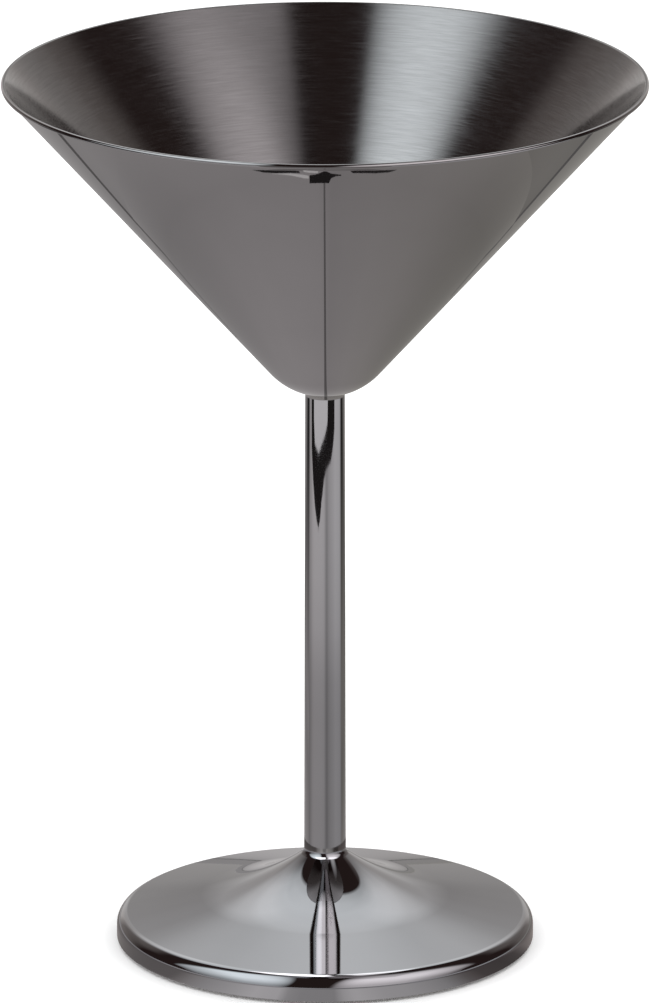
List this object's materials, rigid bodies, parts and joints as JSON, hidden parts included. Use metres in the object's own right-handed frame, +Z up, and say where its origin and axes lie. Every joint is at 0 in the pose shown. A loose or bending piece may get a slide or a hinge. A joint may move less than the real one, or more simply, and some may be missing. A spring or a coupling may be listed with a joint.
{
  "type": "martini glass",
  "caption": "Stemmed cocktail vessel of dark polished steel: conical spun bowl brushed inside, slim tubular stem, low trumpet-shaped round foot closed by a flat plate.",
  "frame": {"origin": "centre of the flat face that the glass stands on", "axes": "+Z up along the stem's axis; the object is round, so X and Y are any two level directions"},
  "size_m": [0.12, 0.12, 0.1667],
  "materials": {
    "bowl_steel": "dark mirror polish outside, turned with fine round brush lines inside",
    "stem_steel": "dark mirror polish",
    "foot_steel": "dark mirror polish",
    "base_steel": "dark satin, turned round and round",
    "stud_steel": "bright as turned, hidden inside",
    "braze": "filler metal, polished flush and coated with the rest"
  },
  "bodies": {
    "root": {"bowl": "bowl_steel", "bowl_stud": "stud_steel", "upper_braze_ring": "braze", "stem_tube": "stem_steel", "lower_braze_ring": "braze", "foot_stud": "stud_steel", "foot_shell": "foot_steel", "base_plate": "base_steel", "base_braze_ring": "braze"}
  },
  "joints": []
}
